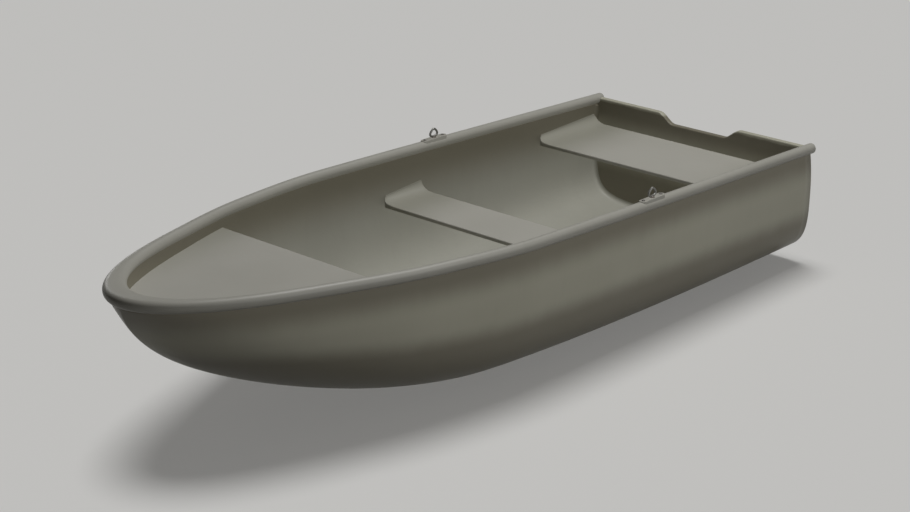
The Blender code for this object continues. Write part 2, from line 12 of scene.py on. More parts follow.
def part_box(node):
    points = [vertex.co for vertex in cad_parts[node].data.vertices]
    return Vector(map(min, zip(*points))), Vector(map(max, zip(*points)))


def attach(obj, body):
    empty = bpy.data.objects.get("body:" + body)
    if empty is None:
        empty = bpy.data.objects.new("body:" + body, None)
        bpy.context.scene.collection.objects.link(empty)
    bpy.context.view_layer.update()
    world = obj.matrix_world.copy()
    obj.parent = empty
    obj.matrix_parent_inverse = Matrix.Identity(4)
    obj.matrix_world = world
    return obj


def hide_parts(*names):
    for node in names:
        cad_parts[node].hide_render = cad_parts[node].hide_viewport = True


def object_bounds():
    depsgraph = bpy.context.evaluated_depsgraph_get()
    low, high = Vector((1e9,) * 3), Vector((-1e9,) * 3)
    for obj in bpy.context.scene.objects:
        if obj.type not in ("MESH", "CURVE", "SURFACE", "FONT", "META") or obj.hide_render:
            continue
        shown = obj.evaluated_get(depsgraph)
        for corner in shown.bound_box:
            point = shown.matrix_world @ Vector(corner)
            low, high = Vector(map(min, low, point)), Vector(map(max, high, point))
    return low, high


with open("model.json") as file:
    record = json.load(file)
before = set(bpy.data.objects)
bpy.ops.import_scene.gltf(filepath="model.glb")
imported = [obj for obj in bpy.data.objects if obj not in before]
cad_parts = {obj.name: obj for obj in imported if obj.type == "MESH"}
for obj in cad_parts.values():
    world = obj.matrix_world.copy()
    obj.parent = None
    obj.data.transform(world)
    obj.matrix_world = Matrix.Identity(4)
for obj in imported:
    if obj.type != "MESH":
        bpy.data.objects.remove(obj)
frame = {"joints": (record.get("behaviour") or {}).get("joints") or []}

cad_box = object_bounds()

# The studio: a camera in front of the port bow and above it, a pale floor that runs out of sight, and soft
# lamps overhead and at both sides. The photograph has no cast shadows inside the boat, so the boat's lamps
# cast none, and a lamp of the floor's own casts the boat's shadow on it.
CAMERA_PLACE = (6.018, 5.527, 3.4476)
CAMERA_HEADING = -2.4003
CAMERA_DIP = 0.3597
CAMERA_LENS = 79.88
CAMERA_FILM = 36.0
CAMERA_REACH = 200.0
FLOOR_HALF_WIDTH = 60.0
FLOOR_BELOW_KEEL = 0.0004
FLOOR_COLOUR = (0.74, 0.735, 0.72)
FLOOR_ROUGHNESS = 0.85
SKY_COLOUR = (0.83, 0.80, 0.74)
SKY_STRENGTH = 0.06
LAMP_TARGET = (0.0, 0.0, 0.3)
BOAT_LAMP_WIDTH = 1.6
FLOOR_LAMP_ANGLE = 0.45
LAMPS = (
    # name, place, power, whether it lights the floor alone, whether it casts shadows
    ("roof_lamp", (-2.5, 0.0, 7.6), 300.0, False, False),
    ("quarter_lamp", (-2.5, 5.5, 4.5), 68.0, False, False),
    ("port_lamp", (0.7, 7.0, 3.0), 92.0, False, False),
    ("starboard_lamp", (-1.5, -7.0, 2.6), 62.0, False, False),
    ("floor_lamp", (-0.8, -1.2, 10.0), 1.35, True, True),
    ("floor_fill", (0.5, 1.0, 12.0), 0.75, True, False),
)


class Wire:
    """A socket in a material's nodes, so that shader maths can be written as arithmetic."""

    def __init__(self, finish, socket):
        self.finish = finish
        self.socket = socket

    def maths(self, operation, first, second):
        return self.finish.node("ShaderNodeMath", {"operation": operation}, {0: first, 1: second})

    def __add__(self, other):
        return self.maths("ADD", self, other)

    __radd__ = __add__

    def __mul__(self, other):
        return self.maths("MULTIPLY", self, other)

    __rmul__ = __mul__

    def __sub__(self, other):
        return self.maths("SUBTRACT", self, other)

    def __rsub__(self, other):
        return self.maths("SUBTRACT", other, self)


class Finish:
    """A material while its nodes are laid out."""

    def __init__(self, name):
        self.material = bpy.data.materials.new(name)
        self.material.use_nodes = True
        self.tree = self.material.node_tree
        self.shader = self.tree.nodes["Principled BSDF"]

    def feed(self, socket, value):
        if isinstance(value, Wire):
            self.tree.links.new(value.socket, socket)
        else:
            socket.default_value = (*value, 1.0) if socket.type == "RGBA" else value

    def node(self, kind, settings=None, sockets=None, out=0):
        made = self.tree.nodes.new(kind)
        for name, value in (settings or {}).items():
            setattr(made, name, value)
        for name, value in (sockets or {}).items():
            self.feed(made.inputs[name], value)
        return Wire(self, made.outputs[out])

    def place(self):
        """A point's place on the object, which doesn't change as the object is posed or viewed."""
        return self.node("ShaderNodeTexCoord", out="Object")

    def part(self, axis):
        """One coordinate of a point's place."""
        return self.node("ShaderNodeSeparateXYZ", None, {"Vector": self.place()}, axis)

    def noise(self, size, detail=3.0, stretch=(1.0, 1.0, 1.0), roughness=0.5):
        """Cloudy variation from 0 to 1 whose blotches are about size metres across."""
        scaled = self.node("ShaderNodeVectorMath", {"operation": "MULTIPLY"},
                           {0: self.place(), 1: tuple(1.0 / (size * s) for s in stretch)})
        return self.node("ShaderNodeTexNoise", None,
                         {"Vector": scaled, "Scale": 1.0, "Detail": detail, "Roughness": roughness}, "Fac")

    def ramp(self, value, low, high):
        """0 below low and 1 above high, with a soft change between."""
        return self.node("ShaderNodeMapRange", {"interpolation_type": "SMOOTHSTEP"},
                         {"Value": value, "From Min": low, "From Max": high})

    def mix(self, share, first, second):
        return self.node("ShaderNodeMix", {"data_type": "RGBA"}, {0: share, 6: first, 7: second}, 2)

    def bump(self, value, depth, normal=None):
        sockets = {"Height": value, "Distance": depth, "Strength": 1.0}
        if normal is not None:
            sockets["Normal"] = normal
        return self.node("ShaderNodeBump", None, sockets, "Normal")

    def finish(self, **values):
        for name, value in values.items():
            self.feed(self.shader.inputs[name.replace("_", " ")], value)
        return self.material


def make_camera(scene):
    data = bpy.data.cameras.new("photo_camera")
    data.lens = CAMERA_LENS
    data.sensor_width = CAMERA_FILM
    data.clip_end = CAMERA_REACH
    camera = bpy.data.objects.new("photo_camera", data)
    scene.collection.objects.link(camera)
    camera.location = CAMERA_PLACE
    forward = Vector((math.cos(CAMERA_DIP) * math.cos(CAMERA_HEADING),
                      math.cos(CAMERA_DIP) * math.sin(CAMERA_HEADING), -math.sin(CAMERA_DIP)))
    camera.rotation_euler = forward.to_track_quat("-Z", "Y").to_euler()
    scene.camera = camera
    scene.view_settings.view_transform = "Standard"


def make_floor(scene):
    half = FLOOR_HALF_WIDTH
    corners = ((-half, -half), (half, -half), (half, half), (-half, half))
    mesh = bpy.data.meshes.new("floor")
    mesh.from_pydata([(x, y, -FLOOR_BELOW_KEEL) for x, y in corners], [], [(0, 1, 2, 3)])
    mesh.materials.append(Finish("pale_floor").finish(Base_Color=FLOOR_COLOUR, Roughness=FLOOR_ROUGHNESS))
    floor = bpy.data.objects.new("floor", mesh)
    scene.collection.objects.link(floor)
    floor.visible_diffuse = False
    return floor


def make_lamps(scene, floor):
    """The floor's lamps light it alone, and the boat's lamps light everything but the floor."""
    lit = {}
    for on_floor, state in ((True, "INCLUDE"), (False, "EXCLUDE")):
        lit[on_floor] = bpy.data.collections.new(f"floor_{state.lower()}d")
        lit[on_floor].objects.link(floor)
        lit[on_floor].collection_objects[0].light_linking.link_state = state
    for name, place, power, on_floor, casts_shadow in LAMPS:
        lamp = bpy.data.lights.new(name, "SUN" if on_floor else "AREA")
        if on_floor:
            lamp.angle = FLOOR_LAMP_ANGLE
        else:
            lamp.shape = "DISK"
            lamp.size = BOAT_LAMP_WIDTH
        lamp.energy = power
        lamp.use_shadow = casts_shadow
        shown = bpy.data.objects.new(name, lamp)
        scene.collection.objects.link(shown)
        shown.location = place
        shown.rotation_euler = (Vector(LAMP_TARGET) - Vector(place)).to_track_quat("-Z", "Y").to_euler()
        shown.light_linking.receiver_collection = lit[on_floor]


def make_sky(scene):
    scene.world = bpy.data.worlds.new("studio")
    scene.world.use_nodes = True
    sky = scene.world.node_tree.nodes["Background"]
    sky.inputs["Color"].default_value = (*SKY_COLOUR, 1.0)
    sky.inputs["Strength"].default_value = SKY_STRENGTH


make_camera(bpy.context.scene)
make_lamps(bpy.context.scene, make_floor(bpy.context.scene))
make_sky(bpy.context.scene)

# The hull: a glass-fibre shell laid up in a female mould, so it is smooth gelcoat outside and brushed
# flowcoat inside. Its lines are lofted from the transom to the round of the bow.
BEAM = 1.326
HULL_WALL = 0.006
RIM_RADIUS = 0.025
GROOVE_DEPTH = 0.012
FIT_GAP = 0.0005
SHEER_BAND = 0.004
SHEER_HEIGHT_AT_TRANSOM = 0.576
SHEER_RISE = 0.118
SIDE_BULGE = 0.012
SIDE_BULGE_DEPTH = 0.16
ROCKER = 0.021
STATION_SHARES = (0.0, 0.20, 0.40, 0.55, 0.70, 0.82, 0.92, 1.0)
BREADTH_SHARES = (0.994, 0.998, 1.0, 0.992, 0.885, 0.696, 0.480, 0.0)
FOREFOOT_SHARE = 0.60
FOREFOOT_EXPONENT = 1.69
STEM_EXPONENT = 1.65
ROCKER_END_SHARE = 0.5
FULLNESS_STERN = 6.4
FULLNESS_MIDDLE = 4.8
FULLNESS_BOW = 1.07
BILGE_TOP_SHARE = 0.43
STERN_ROUND = 0.006
STERN_STEP = 0.0015
HULL_STATIONS = 140
BILGE_STEPS = 36
SIDE_STEPS = 26
SHARP_ANGLE = 35.0
HULL_COLOUR = (0.42, 0.41, 0.328)
HULL_SHADE = (0.385, 0.375, 0.297)
HULL_SCUFF = (0.45, 0.442, 0.37)
HULL_ROUGHNESS = 0.42
HULL_PEEL = 0.00012
INSIDE_COLOUR = (0.335, 0.331, 0.286)
INSIDE_SHADE = (0.30, 0.296, 0.254)
INSIDE_ROUGHNESS = 0.55
INSIDE_PEEL = 0.0002
INSIDE_BRUSHING = 0.0003
CLOUD_SIZE = 0.45
CLOUD_REACH = (0.35, 0.68)
CLOUD_SHARE = 0.5
STREAK_SIZE = 0.035
STREAK_STRETCH = (1.0, 1.0, 7.0)
STREAK_REACH = (0.48, 0.80)
STREAK_SHARE = 0.22
SPECK_SIZE = 0.012
SPECK_REACH = (0.60, 0.80)
SPECK_SHARE = 0.12
HANDLED_SIZE = 0.18
HANDLED_ROUGHNESS = 0.16
SCUFF_SIZE = 0.06
SCUFF_STRETCH = (6.0, 6.0, 0.12)
SCUFF_REACH = (0.60, 0.74)
SCUFFED_AREA_SIZE = 0.5
SCUFFED_AREA_REACH = (0.45, 0.65)
SCUFF_SHARE = 0.45
SCUFF_ROUGHNESS = 0.10
PEEL_SIZE = 0.004
BRUSH_SIZE = 0.009
BRUSH_STRETCH = (2.5, 1.0, 1.0)
# Painted shade: a dark colour mixed into the hull's tone under the gunwale, inside and out, and low on the
# outside of the hull, higher towards the bow.
PAINTED_SHADE_COLOUR = (0.195, 0.180, 0.134)
PAINTED_SHADE_UNDER_RIM = (0.050, 0.175)
PAINTED_SHADE_UNDER_RIM_INSIDE = (0.06, 0.32)
PAINTED_SHADE_LOW_ON_SIDE = (0.270, 0.375)
PAINTED_SHADE_LIFT_AT_BOW = 0.075
PAINTED_SHADE_LIFT_START = 0.3
PAINTED_SHADE_TOP_EDGE = 0.012
PAINTED_SHADE_BLOTCH_SIZE = 0.09
PAINTED_SHADE_BLOTCH_STRETCH = (1.0, 1.0, 2.5)
PAINTED_SHADE_BLOTCH_DEPTH = 0.02

stem_x = cad_box[1].x - RIM_RADIUS
transom_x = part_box("transom")[0].x - FIT_GAP
bottom_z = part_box("hull")[0].z
rim_half_breadth = BEAM / 2 - RIM_RADIUS


def smooth_through(places, values, at):
    """A curve through the table's values that never overshoots them."""
    places, values, at = (np.asarray(a, float) for a in (places, values, at))
    steps = np.diff(places)
    rises = np.diff(values) / steps
    slopes = np.zeros(len(places))
    before, after = rises[:-1], rises[1:]
    w1, w2 = 2 * steps[1:] + steps[:-1], steps[1:] + 2 * steps[:-1]
    same = before * after > 0
    slopes[1:-1][same] = (w1 + w2)[same] / (w1[same] / before[same] + w2[same] / after[same])
    lean = (2 * steps[-1] + steps[-2]) * rises[-1] - steps[-1] * rises[-2]
    slopes[-1] = lean / (steps[-1] + steps[-2])
    k = np.clip(np.searchsorted(places, at, side="right") - 1, 0, len(steps) - 1)
    t = (at - places[k]) / steps[k]
    return (values[k] * (1 + 2 * t) * (1 - t) ** 2 + slopes[k] * steps[k] * t * (1 - t) ** 2
            + values[k + 1] * t * t * (3 - 2 * t) - slopes[k + 1] * steps[k] * t * t * (1 - t))


def half_breadth(share):
    squares = np.asarray(BREADTH_SHARES) ** 2
    return rim_half_breadth * np.sqrt(np.maximum(smooth_through(STATION_SHARES, squares, share), 0.0))


def sheer_height(share):
    return SHEER_HEIGHT_AT_TRANSOM + SHEER_RISE * np.asarray(share, float)


def sheer_edge(share):
    return sheer_height(share) - RIM_RADIUS - SHEER_BAND


def groove_height(share):
    return sheer_height(share) - RIM_RADIUS + GROOVE_DEPTH - FIT_GAP


def bottom_height(share):
    lift = max(ROCKER_END_SHARE - share, 0.0) / ROCKER_END_SHARE
    reach = min(max((share - FOREFOOT_SHARE) / (1 - FOREFOOT_SHARE), 0.0), 1.0)
    stem = 1 - (1 - reach ** FOREFOOT_EXPONENT) ** (1 / STEM_EXPONENT)
    return bottom_z + HULL_WALL / 2 + ROCKER * lift ** 2 + (sheer_edge(1) - bottom_z) * stem


def fullness(share):
    rest = 1 - share
    return FULLNESS_STERN * rest ** 2 + 2 * FULLNESS_MIDDLE * share * rest + FULLNESS_BOW * share ** 2


def station_x(share):
    return transom_x + (stem_x - transom_x) * share


def stations(count, first=0.0):
    """Stations from the stern forward, closing up towards the round of the bow."""
    return 1 - (1 - first) * ((count - np.arange(count + 1)) / count) ** 2


def section(share):
    """Half of a section of the shell's middle surface, from the centreline out and up to the sheer."""
    breadth, top, low = half_breadth(share), sheer_edge(share), bottom_height(share)
    bulge = SIDE_BULGE * breadth / rim_half_breadth
    full = fullness(share)
    turns = np.linspace(0, math.acos(BILGE_TOP_SHARE ** (full / 2)), BILGE_STEPS + 1)[:-1]
    depth_share = np.append(np.cos(turns) ** (2 / full), np.linspace(BILGE_TOP_SHARE, 0, SIDE_STEPS + 1))
    depth = (top - low) * depth_share
    across = (breadth + bulge) * (1 - np.minimum(depth_share ** full, 1)) ** (1 / full)
    across -= bulge * np.maximum(1 - depth / SIDE_BULGE_DEPTH, 0.0) ** 2
    across[0] = 0.0
    return across, top - depth


def add_mesh(name, points, faces, finishes):
    mesh = bpy.data.meshes.new(name)
    mesh.from_pydata([tuple(map(float, p)) for p in points], [], faces)
    work = bmesh.new()
    work.from_mesh(mesh)
    bmesh.ops.recalc_face_normals(work, faces=work.faces)
    work.to_mesh(mesh)
    work.free()
    mesh.shade_smooth()
    mesh.set_sharp_from_angle(angle=math.radians(SHARP_ANGLE))
    for finish in finishes:
        mesh.materials.append(finish)
    made = bpy.data.objects.new(name, mesh)
    bpy.context.scene.collection.objects.link(made)
    return made


def add_painted_shade(finish, tone, outside):
    """Darkens a tone with painted shade under the gunwale and, outside, with painted shade along the lower
    side of the hull.
    """
    slope = SHEER_RISE / (stem_x - transom_x)
    depth = SHEER_HEIGHT_AT_TRANSOM - slope * transom_x + finish.part("X") * slope - finish.part("Z")
    blotches = finish.noise(PAINTED_SHADE_BLOTCH_SIZE, 4.0, PAINTED_SHADE_BLOTCH_STRETCH) - 0.5
    depth = depth + blotches * PAINTED_SHADE_BLOTCH_DEPTH
    faded = finish.ramp(depth, *(PAINTED_SHADE_UNDER_RIM if outside else PAINTED_SHADE_UNDER_RIM_INSIDE))
    share = finish.ramp(depth, 0.0, PAINTED_SHADE_TOP_EDGE) * (1.0 - faded)
    if outside:
        lift = finish.ramp(finish.part("X"), PAINTED_SHADE_LIFT_START, stem_x) * PAINTED_SHADE_LIFT_AT_BOW
        share = share + finish.ramp(depth + lift, *PAINTED_SHADE_LOW_ON_SIDE)
    return finish.mix(share, tone, PAINTED_SHADE_COLOUR)


def gelcoat(name, colour, shade, roughness, peel, brushing=0.0, scuff=None, painted_shade=None):
    """Moulded resin: slow clouds of fading, faint run-off streaks, fine specks, and an orange-peel skin."""
    finish = Finish(name)
    clouds = finish.ramp(finish.noise(CLOUD_SIZE, 4.0), *CLOUD_REACH)
    streaks = finish.ramp(finish.noise(STREAK_SIZE, 3.0, STREAK_STRETCH), *STREAK_REACH)
    specks = finish.ramp(finish.noise(SPECK_SIZE, 2.0), *SPECK_REACH)
    tone = finish.mix(clouds * CLOUD_SHARE + streaks * STREAK_SHARE + specks * SPECK_SHARE, colour, shade)
    rough = finish.noise(HANDLED_SIZE, 5.0) * HANDLED_ROUGHNESS + (roughness - HANDLED_ROUGHNESS / 2)
    if scuff:
        rubbed = finish.ramp(finish.noise(SCUFF_SIZE, 6.0, SCUFF_STRETCH, 0.7), *SCUFF_REACH)
        rubbed = rubbed * finish.ramp(finish.noise(SCUFFED_AREA_SIZE, 2.0), *SCUFFED_AREA_REACH)
        tone = finish.mix(rubbed * SCUFF_SHARE, tone, scuff)
        rough = rough + rubbed * SCUFF_ROUGHNESS
    # Painted shade under the gunwale and low on the hull's side, mixed into the tone.
    if painted_shade:
        tone = add_painted_shade(finish, tone, painted_shade == "outside")
    normal = finish.bump(finish.noise(PEEL_SIZE, 2.0), peel)
    if brushing:
        normal = finish.bump(finish.noise(BRUSH_SIZE, 3.0, BRUSH_STRETCH), brushing, normal)
    return finish.finish(Base_Color=tone, Roughness=rough, Normal=normal)


def make_hull():
    shares = stations(HULL_STATIONS, (STERN_ROUND + STERN_STEP) / (stem_x - transom_x))[:-1]
    points = []
    for share in shares:
        across, height = section(share)
        across = np.append(across, half_breadth(share))
        height = np.append(height, groove_height(share))
        ring = [(station_x(share), -y, z) for y, z in zip(across[::-1], height[::-1])]
        points += ring + [(x, -y, z) for x, y, z in ring[-2::-1]]
    size = len(points) // len(shares)
    faces = []
    for back in range(0, size * (len(shares) - 1), size):
        for k in range(back, back + size - 1):
            faces.append((k, k + size, k + size + 1, k + 1))
    last, low, high = len(points) - size, len(points), len(points) + 1
    points += [(stem_x, 0, sheer_edge(1)), (stem_x, 0, groove_height(1))]
    faces += [(k, low, k + 1) for k in range(last + 1, last + size - 2)]
    faces += [(last, high, low, last + 1), (last + size - 2, low, high, last + size - 1)]
    shell = add_mesh("hull_shell", points, faces, (hull_gelcoat, inside_gelcoat))
    if shell.data.polygons[size // 2].normal.z > 0:
        shell.data.flip_normals()
    wall = shell.modifiers.new("wall", "SOLIDIFY")
    wall.thickness = HULL_WALL
    wall.offset = 0.0
    wall.material_offset = 1
    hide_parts("hull")
    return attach(shell, "boat")


hull_gelcoat = gelcoat("hull_gelcoat", HULL_COLOUR, HULL_SHADE, HULL_ROUGHNESS, HULL_PEEL,
                       scuff=HULL_SCUFF, painted_shade="outside")
inside_gelcoat = gelcoat("hull_flowcoat", INSIDE_COLOUR, INSIDE_SHADE, INSIDE_ROUGHNESS, INSIDE_PEEL,
                         brushing=INSIDE_BRUSHING, painted_shade="inside")
hull = make_hull()
hull_tree = BVHTree.FromObject(hull, bpy.context.evaluated_depsgraph_get())

# The transom: a board bonded inside the shell's aft end and glassed over, so its outer corner is rounded
# and its inner corner has a cove of resin. Its top edge dips in the middle for an outboard or a sculling oar.
TRANSOM_THICKNESS = 0.03
TRANSOM_TOP_ABOVE_SHEER = 0.009
NOTCH_DEPTH = 0.05
NOTCH_BOTTOM_WIDTH = 0.30
NOTCH_TOP_WIDTH = 0.49
NOTCH_STEPS = 28
TRANSOM_COVE = 0.022
COPE_OVERLAP = 0.001
COPE_STEPS = 14
COVE_STEPS = 7
ROUND_STEPS = 5


def quarter_turns(steps):
    """Angles that go evenly through a quarter of a circle."""
    return [math.pi / 2 * k / steps for k in range(steps + 1)]


def eased(share):
    """A share from 0 to 1, made to start and stop softly."""
    return share * share * (3 - 2 * share)


def lofted(name, rings, finish, closed=False):
    """A solid that passes through rings of points of equal size, capped at its ends or joined in a loop."""
    size = len(rings[0])
    points = [p for ring in rings for p in ring]
    faces = []
    for n in range(len(rings) if closed else len(rings) - 1):
        back, front = n * size, (n + 1) % len(rings) * size
        for k in range(size):
            after = (k + 1) % size
            faces.append((back + k, back + after, front + after, front + k))
    sides = len(faces)
    for first in () if closed else (0, len(points) - size):
        loop = np.array([tuple(p) for p in points[first:first + size]], float)
        area = np.cross(loop - loop[0], np.roll(loop, -1, 0) - loop[0]).sum(axis=0)
        flat = [axis for axis in range(3) if axis != int(np.argmax(np.abs(area)))]
        found = delaunay_2d_cdt([Vector(p) for p in loop[:, flat]], [], [list(range(size))], 1, 0.0)
        faces += [tuple(first + found[3][k][0] for k in face) for face in found[2]]
    made = add_mesh(name, points, faces, (finish,))
    for face in made.data.polygons[sides:]:
        face.use_smooth = False
    return made


def stern_contour():
    """The shell's middle surface at the stern, with its outward normals, from the keel up to the sheer."""
    across, height = section(0.0)
    turn = np.arctan2(np.gradient(height), np.gradient(across))
    normals = np.stack([np.sin(turn), -np.cos(turn)], 1)
    normals[0] = (0.0, -1.0)
    return np.stack([across, height], 1), normals


def make_transom_board(contour, contour_normals):
    rim_y, rim_z = half_breadth(0.0), sheer_height(0.0)
    top = rim_z + TRANSOM_TOP_ABOVE_SHEER
    cope = RIM_RADIUS - COPE_OVERLAP
    low, high = NOTCH_BOTTOM_WIDTH / 2, NOTCH_TOP_WIDTH / 2
    across = np.concatenate([[(rim_y - cope + high) / 2], np.linspace(high, low, NOTCH_STEPS + 1),
                             [low / 2, 0.0]])
    share = np.clip((across - low) / (high - low), 0, 1)
    edge = np.stack([across, top - NOTCH_DEPTH * (1 - eased(share))], 1)
    along = np.gradient(edge, axis=0)
    along /= np.linalg.norm(along, axis=1)[:, None]
    edge_normals = np.stack([along[:, 1], -along[:, 0]], 1)

    def ring(x, out, inset):
        """The board's outline: out from the shell's middle, round under the rim, and in from the top edge."""
        end = -math.pi - math.asin((top - inset - rim_z) / cope)
        turns = np.linspace(-math.pi / 2, end, COPE_STEPS + 1)
        under_rim = np.stack([rim_y + cope * np.cos(turns), rim_z + cope * np.sin(turns)], 1)
        half = np.vstack([contour + contour_normals * out, under_rim, edge - edge_normals * inset])
        right = [(x, y, z) for y, z in half]
        return right + [(x, -y, z) for x, y, z in right[-2:0:-1]]

    rings = []
    for turn in quarter_turns(ROUND_STEPS):
        inset = STERN_ROUND * (1 - math.sin(turn))
        rings.append(ring(transom_x + STERN_ROUND * (1 - math.cos(turn)), HULL_WALL / 2 - inset, inset))
    step_x = transom_x + STERN_ROUND + STERN_STEP
    rings.append(ring(step_x, HULL_WALL / 2, 0.0))
    rings.append(ring(step_x + STERN_STEP / 3, 0.0, 0.0))
    for turn in quarter_turns(ROUND_STEPS):
        x = transom_x + TRANSOM_THICKNESS - STERN_ROUND * (1 - math.sin(turn))
        rings.append(ring(x, 0.0, STERN_ROUND * (1 - math.cos(turn))))
    board = lofted("transom_board", rings, hull_gelcoat)
    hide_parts("transom")
    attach(board, "boat")


def make_transom_cove(contour, contour_normals):
    inner_x = transom_x + TRANSOM_THICKNESS
    half = [(y, z, ny, nz) for (y, z), (ny, nz) in zip(contour, contour_normals)]
    rows = []
    for y, z, ny, nz in [(-y, z, -ny, nz) for y, z, ny, nz in half[::-1]] + half[1:]:
        wall_y, wall_z = y - ny * HULL_WALL / 2, z - nz * HULL_WALL / 2
        row = [(inner_x - COPE_OVERLAP, wall_y + ny * COPE_OVERLAP, wall_z + nz * COPE_OVERLAP)]
        for turn in quarter_turns(COVE_STEPS):
            inward = TRANSOM_COVE * (1 - math.sin(turn))
            row.append((inner_x + TRANSOM_COVE * (1 - math.cos(turn)), wall_y - ny * inward,
                        wall_z - nz * inward))
        rows.append(row)
    cove = lofted("transom_cove", rows, inside_gelcoat)
    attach(cove, "boat")


make_transom_board(*stern_contour())
make_transom_cove(*stern_contour())

# The keel and the two bilge runners: solid glass mouldings bonded under the bottom. The boat stands on
# them, so their feet are worn, and their ends run out into the hull.
SIDES = (("port", 1), ("starboard", -1))
KEEL_WIDTH = 0.05
KEEL_TAPER = 0.008
KEEL_TOE = 0.003
KEEL_RUN_OUT = 0.36
KEEL_SPACING_POWER = 1.5
RUNNER_SPACING = 0.60
RUNNER_WIDTH = 0.034
RUNNER_END_SLOPE = 0.10
FOOT_ROUND = 0.005
FOOT_ROUND_SHARE = 0.6
SKEG_SINK = 0.001
SKEG_STATIONS = 60
HULL_TOP_STEPS = 4
FOOT_STEPS = 3
FOOT_COLOUR = (0.33, 0.325, 0.29)
FOOT_WEAR_HEIGHT = 0.010
FOOT_WEAR_SHARE = 0.8
FOOT_ROUGHNESS = 0.30
FOOT_CLOUD_SIZE = 0.30
FOOT_WEAR_SIZE = 0.02
FOOT_WEAR_STRETCH = (6.0, 1.0, 1.0)
SCRATCH_SIZE = 0.003
SCRATCH_STRETCH = (30.0, 1.0, 1.0)
SCRATCH_DEPTH = 0.0006


def worn_gelcoat(name):
    """The hull's gelcoat, rubbed pale and rough where it meets the ground."""
    finish = Finish(name)
    clouds = finish.ramp(finish.noise(FOOT_CLOUD_SIZE, 4.0), *CLOUD_REACH)
    tone = finish.mix(clouds * CLOUD_SHARE, HULL_COLOUR, HULL_SHADE)
    patches = finish.noise(FOOT_WEAR_SIZE, 4.0, FOOT_WEAR_STRETCH) - 0.5
    worn = 1.0 - finish.ramp(finish.part("Z") + patches * FOOT_WEAR_HEIGHT, 0.0, FOOT_WEAR_HEIGHT)
    tone = finish.mix(worn * FOOT_WEAR_SHARE, tone, FOOT_COLOUR)
    normal = finish.bump(finish.noise(SCRATCH_SIZE, 3.0, SCRATCH_STRETCH) * worn, SCRATCH_DEPTH)
    return finish.finish(Base_Color=tone, Roughness=worn * FOOT_ROUGHNESS + HULL_ROUGHNESS, Normal=normal)


def under_hull(x, y):
    """A height just inside the shell's underside, for a moulding to be bonded to."""
    x = max(x, transom_x + STERN_ROUND + 2 * STERN_STEP)
    return hull_tree.ray_cast(Vector((x, y, -RIM_RADIUS)), Vector((0, 0, 1)))[0].z + SKEG_SINK


def skeg_ring(x, middle, width, foot):
    """One section of a keel or runner: its top follows the hull, and its foot is narrower and rounded."""
    half, half_foot = width / 2, width / 2 - KEEL_TAPER
    across = [middle + half * (1 - 2 * k / HULL_TOP_STEPS) for k in range(HULL_TOP_STEPS + 1)]
    ring = [(x, y, under_hull(x, y)) for y in across]
    radius = min(FOOT_ROUND, (min(z for _, _, z in ring) - foot) * FOOT_ROUND_SHARE)
    turns = quarter_turns(FOOT_STEPS)
    for side in (-1, 1):
        for turn in turns if side < 0 else turns[::-1]:
            ring.append((x, middle + side * (half_foot - radius * (1 - math.cos(turn))),
                         foot + radius * (1 - math.sin(turn))))
    return ring


def make_keel():
    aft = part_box("keel")[0].x
    start = station_x(FOREFOOT_SHARE)
    end = start + KEEL_RUN_OUT
    rings = []
    for k in range(SKEG_STATIONS + 1):
        x = aft + (end - aft) * (1 - (1 - k / SKEG_STATIONS) ** KEEL_SPACING_POWER)
        share = min(max((x - start) / (end - start), 0.0), 1.0)
        depth = KEEL_TOE + (bottom_z - KEEL_TOE) * (1 - eased(share))
        foot = 0.0 if share == 0 else max(under_hull(x, 0.0) - SKEG_SINK - depth, 0.0)
        rings.append(skeg_ring(x, 0.0, KEEL_WIDTH, foot))
    keel = lofted("keel_moulding", rings, keel_gelcoat)
    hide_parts("keel")
    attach(keel, "boat")


def make_runner(word, side):
    low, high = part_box(f"runner_{word}")
    middle = side * RUNNER_SPACING / 2
    rings = []
    for k in range(SKEG_STATIONS + 1):
        x = low.x + (high.x - low.x) * (0.5 - 0.5 * math.cos(math.pi * k / SKEG_STATIONS))
        slope = eased(min((x - low.x) / RUNNER_END_SLOPE, (high.x - x) / RUNNER_END_SLOPE, 1.0))
        foot = (under_hull(x, middle - side * RUNNER_WIDTH / 2) - SKEG_SINK - KEEL_TOE) * (1 - slope)
        rings.append(skeg_ring(x, middle, RUNNER_WIDTH, foot))
    runner = lofted(f"bilge_runner_{word}", rings, keel_gelcoat)
    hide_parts(f"runner_{word}")
    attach(runner, "boat")


keel_gelcoat = worn_gelcoat("keel_gelcoat")
make_keel()
for word, side in SIDES:
    make_runner(word, side)

# The middle and stern seats: moulded planks laid across the hull. Their ends sweep up the sides and are
# bonded there, and the front corners are rounded off.
SEAT_END_RISE = 0.045
SEAT_END_SWEEP = 0.07
SEAT_END_LIP = 0.003
SEAT_FRONT_FALL_SHARE = 0.45
SEAT_CORNER = 0.045
SEAT_CORNER_BLEND = 3
SEAT_TOP_ROUND = 0.006
SEAT_LOW_ROUND = 0.003
SEAT_SINK = 0.001
SEAT_FREE_SHARE = 0.125
SEAT_FLAT_STEPS = 14
SWEEP_STEPS = 20
CORNER_STEPS = 18
SEAT_BODY_STEPS = 12
SEAT_COLOUR = (0.41, 0.40, 0.357)
SEAT_SHADE = (0.38, 0.371, 0.328)
SEAT_CLOUD_SIZE = 0.35
SEAT_CLOUD_SHARE = 0.45
SEAT_MARK_SIZE = 0.05
SEAT_MARK_STRETCH = (1.0, 2.5, 1.0)
SEAT_MARK_REACH = (0.56, 0.76)
SEAT_MARK_SHARE = 0.25
SEAT_END_SHADE_COLOUR = (0.255, 0.250, 0.205)
SEAT_END_SHADE_REACH = (0.03, 0.30)
SEAT_END_SHADE_SHARE = 0.85
SEAT_END_SHADE_BLOTCH_SIZE = 0.2
SEAT_END_SHADE_BLOTCH = 0.05
